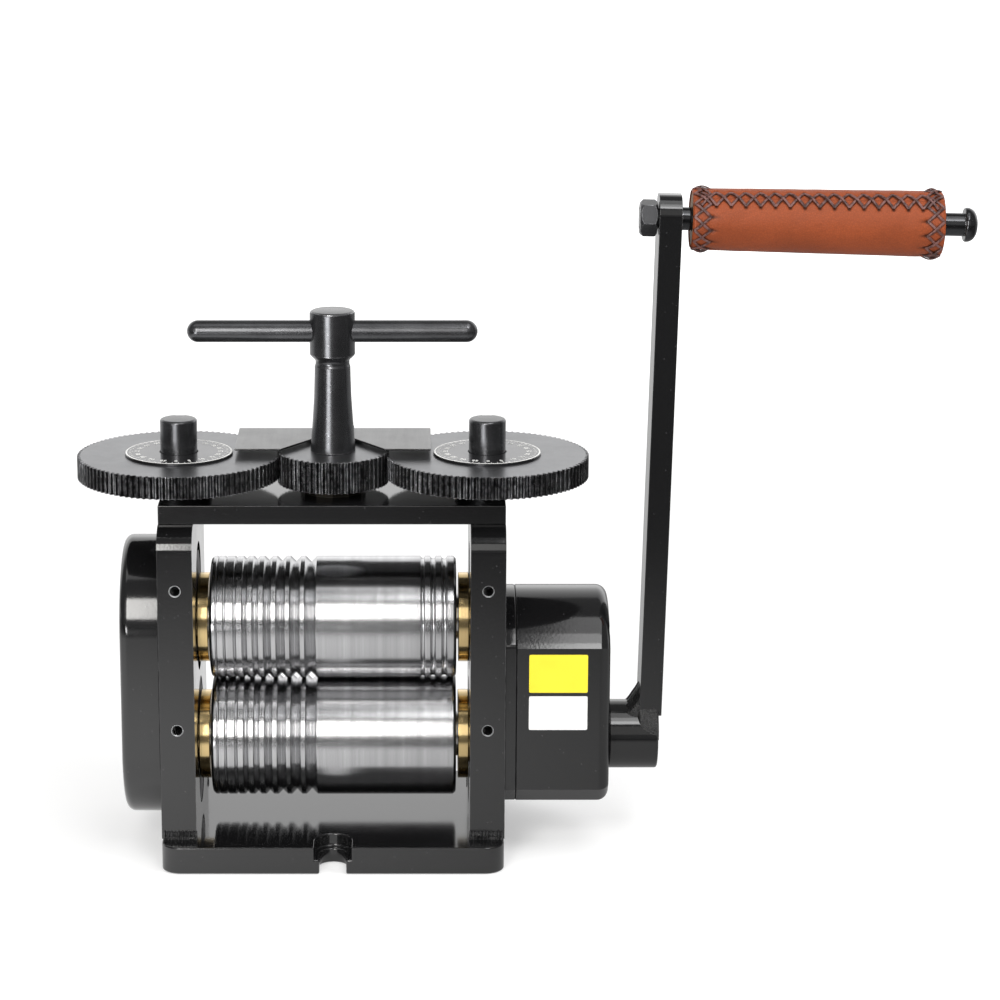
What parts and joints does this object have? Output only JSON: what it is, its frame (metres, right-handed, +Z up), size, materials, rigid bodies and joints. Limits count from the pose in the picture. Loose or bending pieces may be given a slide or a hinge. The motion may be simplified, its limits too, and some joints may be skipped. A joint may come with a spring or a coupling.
{
  "type": "jewellers rolling mill",
  "caption": "Hand-cranked jewellers rolling mill with grooved and flat steel rolls, geared screw-down dials, T-handle, gearbox, and a crank arm with a sewn leather grip.",
  "frame": {"origin": "centre of the base plate's underside, straight below the roll axes", "axes": "+X along the rolls towards the crank, +Y from the operator's side to the rear, +Z up"},
  "size_m": [0.2748, 0.0724, 0.2078],
  "materials": {
    "black_paint": "gloss black paint",
    "black_steel": "blackened steel with a satin sheen",
    "roll_steel": "ground and polished hardened steel",
    "gear_steel": "machined steel, oiled",
    "spring_steel": "drawn spring steel",
    "block_iron": "machined cast iron",
    "bush_brass": "turned brass",
    "scale_plate": "dark scale plate with pale graduations",
    "grip_wood": "turned hardwood",
    "grip_hide": "tan leather, hand sewn"
  },
  "bodies": {
    "frame": {"base_plate": "black_paint", "crown_plate": "black_paint", "left_gear_cover": "black_paint", "gearbox_adapter_plate": "black_paint", "gearbox_cover": "black_paint", "crank_bush": "bush_brass", "layshaft_inner_bush": "bush_brass", "layshaft_outer_bush": "bush_brass", "left_side_plate": "black_paint", "right_side_plate": "black_paint", "lower_left_bearing_block": "block_iron", "lower_right_bearing_block": "block_iron", "lower_left_bush": "bush_brass", "lower_right_bush": "bush_brass", "left_lift_spring": "spring_steel", "right_lift_spring": "spring_steel", "left_dial_collar": "black_steel", "right_dial_collar": "black_steel", "pinion_bush": "bush_brass", "index_bracket": "black_paint", "index_plate": "black_steel"},
    "upper_bearings": {"upper_left_bearing_block": "block_iron", "upper_right_bearing_block": "block_iron", "upper_left_bush": "bush_brass", "upper_right_bush": "bush_brass"},
    "upper_roll": {"upper_roll": "roll_steel", "upper_coupling_gear": "gear_steel", "upper_gear_key": "gear_steel", "upper_retaining_ring": "spring_steel"},
    "lower_roll": {"lower_roll": "roll_steel", "lower_coupling_gear": "gear_steel", "lower_gear_key": "gear_steel", "lower_retaining_ring": "spring_steel", "roll_gear": "gear_steel", "roll_gear_key": "gear_steel"},
    "layshaft": {"layshaft_pinion": "gear_steel", "layshaft_gear": "gear_steel", "layshaft_gear_key": "gear_steel"},
    "crank": {"crank_pinion_shaft": "gear_steel", "crank_hub": "black_paint", "hub_set_screw": "black_steel", "crank_arm": "black_paint", "handle_bolt": "black_steel", "handle_nut": "black_steel"},
    "grip": {"grip_core": "grip_wood", "grip_leather": "grip_hide"},
    "t_handle": {"adjusting_pinion": "black_steel", "pinion_key": "gear_steel", "t_column": "black_steel", "t_bar": "black_steel", "spindle_washer": "gear_steel", "spindle_screw": "gear_steel"},
    "left_dial": {"left_dial_gear": "black_steel", "left_dial_plate": "scale_plate"},
    "right_dial": {"right_dial_gear": "black_steel", "right_dial_plate": "scale_plate"},
    "left_screw": {"left_pressure_screw": "black_steel"},
    "right_screw": {"right_pressure_screw": "black_steel"}
  },
  "joints": [
    {"name": "t_handle_turn", "type": "hinge", "parent": "frame", "child": "t_handle", "pos_m": [0, 0, 0.12], "axis": [0, 0, -1], "range_deg": [0, 1333.4]},
    {"name": "left_dial_turn", "type": "hinge", "parent": "frame", "child": "left_dial", "pos_m": [-0.04763, 0, 0.12], "axis": [0, 0, 1], "range_deg": [0, 720]},
    {"name": "right_dial_turn", "type": "hinge", "parent": "frame", "child": "right_dial", "pos_m": [0.04763, 0, 0.12], "axis": [0, 0, 1], "range_deg": [0, 720]},
    {"name": "left_screw_slide", "type": "slide", "parent": "left_dial", "child": "left_screw", "axis": [0, 0, 1], "range_m": [0, 0.0025]},
    {"name": "right_screw_slide", "type": "slide", "parent": "right_dial", "child": "right_screw", "axis": [0, 0, 1], "range_m": [0, 0.0025]},
    {"name": "upper_bearings_lift", "type": "slide", "parent": "frame", "child": "upper_bearings", "axis": [0, 0, 1], "range_m": [0, 0.0025], "deforming": ["left_lift_spring", "right_lift_spring"]},
    {"name": "lower_roll_turn", "type": "hinge", "parent": "frame", "child": "lower_roll", "pos_m": [0, 0, 0.0335], "axis": [1, 0, 0], "continuous": true},
    {"name": "upper_roll_turn", "type": "hinge", "parent": "upper_bearings", "child": "upper_roll", "pos_m": [0, 0, 0.0719], "axis": [1, 0, 0], "continuous": true},
    {"name": "layshaft_turn", "type": "hinge", "parent": "frame", "child": "layshaft", "pos_m": [0.07, 0, 0.05375], "axis": [1, 0, 0], "continuous": true},
    {"name": "crank_turn", "type": "hinge", "parent": "frame", "child": "crank", "pos_m": [0.09, 0, 0.0335], "axis": [1, 0, 0], "continuous": true},
    {"name": "grip_turn", "type": "hinge", "parent": "crank", "child": "grip", "pos_m": [0.10243, 0, 0.19776], "axis": [0.9998, 0, -0.0218], "continuous": true}
  ],
  "couplings": [
    {"joint": "t_handle_turn", "follows": "upper_bearings_lift", "rad_per_m": 9308.3},
    {"joint": "left_dial_turn", "follows": "upper_bearings_lift", "rad_per_m": 5026.5},
    {"joint": "right_dial_turn", "follows": "upper_bearings_lift", "rad_per_m": 5026.5},
    {"joint": "left_screw_slide", "follows": "upper_bearings_lift", "ratio": 1},
    {"joint": "right_screw_slide", "follows": "upper_bearings_lift", "ratio": 1},
    {"joint": "upper_roll_turn", "follows": "lower_roll_turn", "ratio": -1},
    {"joint": "layshaft_turn", "follows": "lower_roll_turn", "ratio": -1.5},
    {"joint": "crank_turn", "follows": "lower_roll_turn", "ratio": 6}
  ]
}
